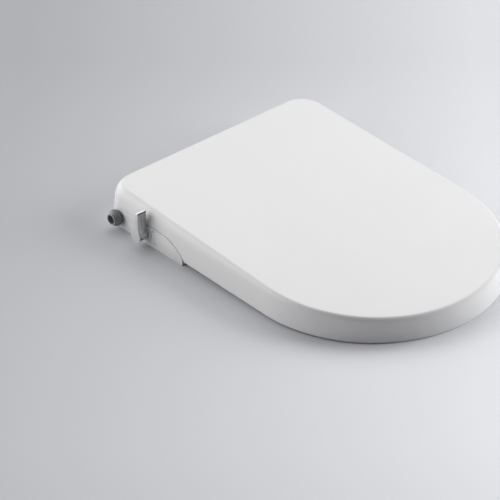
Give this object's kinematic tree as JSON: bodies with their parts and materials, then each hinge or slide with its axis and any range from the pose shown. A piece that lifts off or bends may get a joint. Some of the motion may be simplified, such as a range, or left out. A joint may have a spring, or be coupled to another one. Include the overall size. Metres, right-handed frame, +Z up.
{
  "type": "bidet toilet seat",
  "caption": "Slim water-powered bidet seat with a closing lid, hinged seat ring, side lever valve, side water inlet and retracting spray nozzles.",
  "frame": {"origin": "midway between the two mounting bolts, on the plane of the bowl's rim", "axes": "+Z up, -Y towards the front of the seat, -X towards the seated user's right hand, where the lever and the water inlet are"},
  "size_m": [0.38, 0.4919, 0.0546],
  "materials": {
    "white_shell": "smooth satin gloss, moulded",
    "inner_white": "moulded, fine texture",
    "chrome": "polished plating, brushed on the flat sides",
    "dark_plastic": "moulded, fine texture",
    "grey_plastic": "moulded, fine texture",
    "rubber": "matte",
    "steel": "drawn",
    "hose": "smooth translucent-looking silicone"
  },
  "bodies": {
    "housing": {"base_tray": "white_shell", "top_cover": "inner_white", "cover_screws": "steel", "base_pads": "rubber", "mounting_plate": "inner_white", "plate_pads": "rubber", "release_spring": "steel", "inlet_fitting": "dark_plastic", "inlet_nut": "dark_plastic", "inlet_seal": "rubber", "inlet_filter": "steel", "supply_hose": "hose", "valve_body": "dark_plastic", "lever_bezel": "white_shell", "rear_wash_hose": "hose", "front_wash_hose": "hose", "nozzle_cradle": "inner_white", "rear_nozzle_spring": "steel", "front_nozzle_spring": "steel", "seat_damper": "grey_plastic", "lid_damper": "grey_plastic"},
    "seat": {"seat_ring": "white_shell", "seat_underside": "inner_white", "seat_bumpers": "rubber", "seat_hinge_shaft": "steel", "seat_shaft_clip": "inner_white"},
    "lid": {"lid": "white_shell", "lid_bumpers": "rubber", "lid_hinge_shaft": "steel", "lid_shaft_clip": "steel"},
    "lever": {"control_lever": "chrome", "valve_spindle": "steel", "spindle_seal": "rubber"},
    "release_button": {"release_button": "grey_plastic"},
    "rear_nozzle": {"rear_nozzle": "steel"},
    "front_nozzle": {"front_nozzle": "steel"},
    "nozzle_gate": {"nozzle_gate": "inner_white"}
  },
  "joints": [
    {"name": "seat_hinge", "type": "hinge", "parent": "housing", "child": "seat", "pos_m": [0, 0.037, 0.04], "axis": [1, 0, 0], "range_deg": [-95, 0]},
    {"name": "lid_hinge", "type": "hinge", "parent": "seat", "child": "lid", "pos_m": [0, 0.037, 0.04], "axis": [-1, 0, 0], "range_deg": [0, 105]},
    {"name": "lever_turn", "type": "hinge", "parent": "housing", "child": "lever", "pos_m": [-0.18, -0.032, 0.0165], "axis": [1, 0, 0], "range_deg": [-35, 90]},
    {"name": "rear_nozzle_slide", "type": "slide", "parent": "housing", "child": "rear_nozzle", "axis": [0, -0.9397, -0.342], "range_m": [0, 0.042], "stiffness_N_per_m": 60, "springref_m": -0.01, "deforming": ["rear_nozzle_spring"]},
    {"name": "front_nozzle_slide", "type": "slide", "parent": "housing", "child": "front_nozzle", "axis": [0, -0.9397, -0.342], "range_m": [0, 0.042], "stiffness_N_per_m": 60, "springref_m": -0.01, "deforming": ["front_nozzle_spring"]},
    {"name": "nozzle_gate_hinge", "type": "hinge", "parent": "housing", "child": "nozzle_gate", "pos_m": [0, -0.0705, 0.027], "axis": [-1, 0, 0], "range_deg": [0, 60]},
    {"name": "release_button_press", "type": "slide", "parent": "housing", "child": "release_button", "axis": [-1, 0, 0], "range_m": [0, 0.004], "stiffness_N_per_m": 400, "springref_m": -0.004, "deforming": ["release_spring"]}
  ]
}
